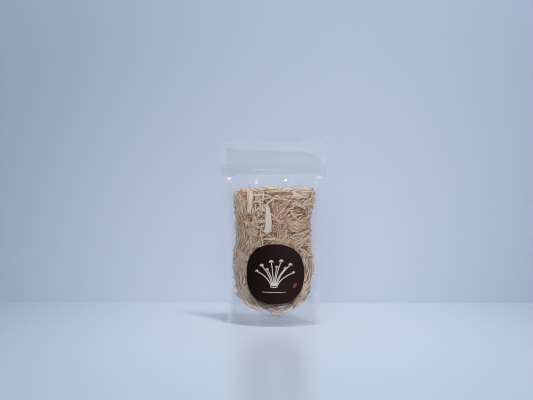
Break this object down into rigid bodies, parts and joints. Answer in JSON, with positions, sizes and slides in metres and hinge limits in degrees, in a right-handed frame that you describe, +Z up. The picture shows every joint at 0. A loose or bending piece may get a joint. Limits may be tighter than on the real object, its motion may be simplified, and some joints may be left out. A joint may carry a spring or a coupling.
{
  "type": "stand-up pouch of dried enoki mushroom",
  "caption": "Clear stand-up zip pouch with a folded base, filled with dried cut enoki mushroom stems, with a dark round label on its front.",
  "frame": {"origin": "on the surface that the pouch stands on, below the middle of its base", "axes": "+Z up along the pouch's height, -Y out of the front with the label, +X to the right of the front"},
  "size_m": [0.12, 0.0452, 0.206],
  "materials": {
    "film": "clear glossy film, a little hazy at seals and folds",
    "zip": "clear to milky extruded strip",
    "label": "smooth, dark brown-black, satin",
    "stems": "matt, dry and fibrous, tan with browner ends",
    "slabs": "matt, dry and fibrous, pale cream with fine grooves"
  },
  "bodies": {
    "root": {"pouch_front_film": "film", "pouch_back_film": "film", "pouch_base_gusset": "film", "zip_rib_strip": "zip", "zip_groove_strip": "zip", "front_label": "label", "enoki_pile": "stems", "slab_front_upright": "slabs", "slab_front_fan": "slabs", "slab_front_bundle": "slabs", "slab_front_short": "slabs", "slab_front_top": "slabs", "slab_back_fan": "slabs", "slab_back_bundle": "slabs", "slab_back_low": "slabs"}
  },
  "joints": []
}
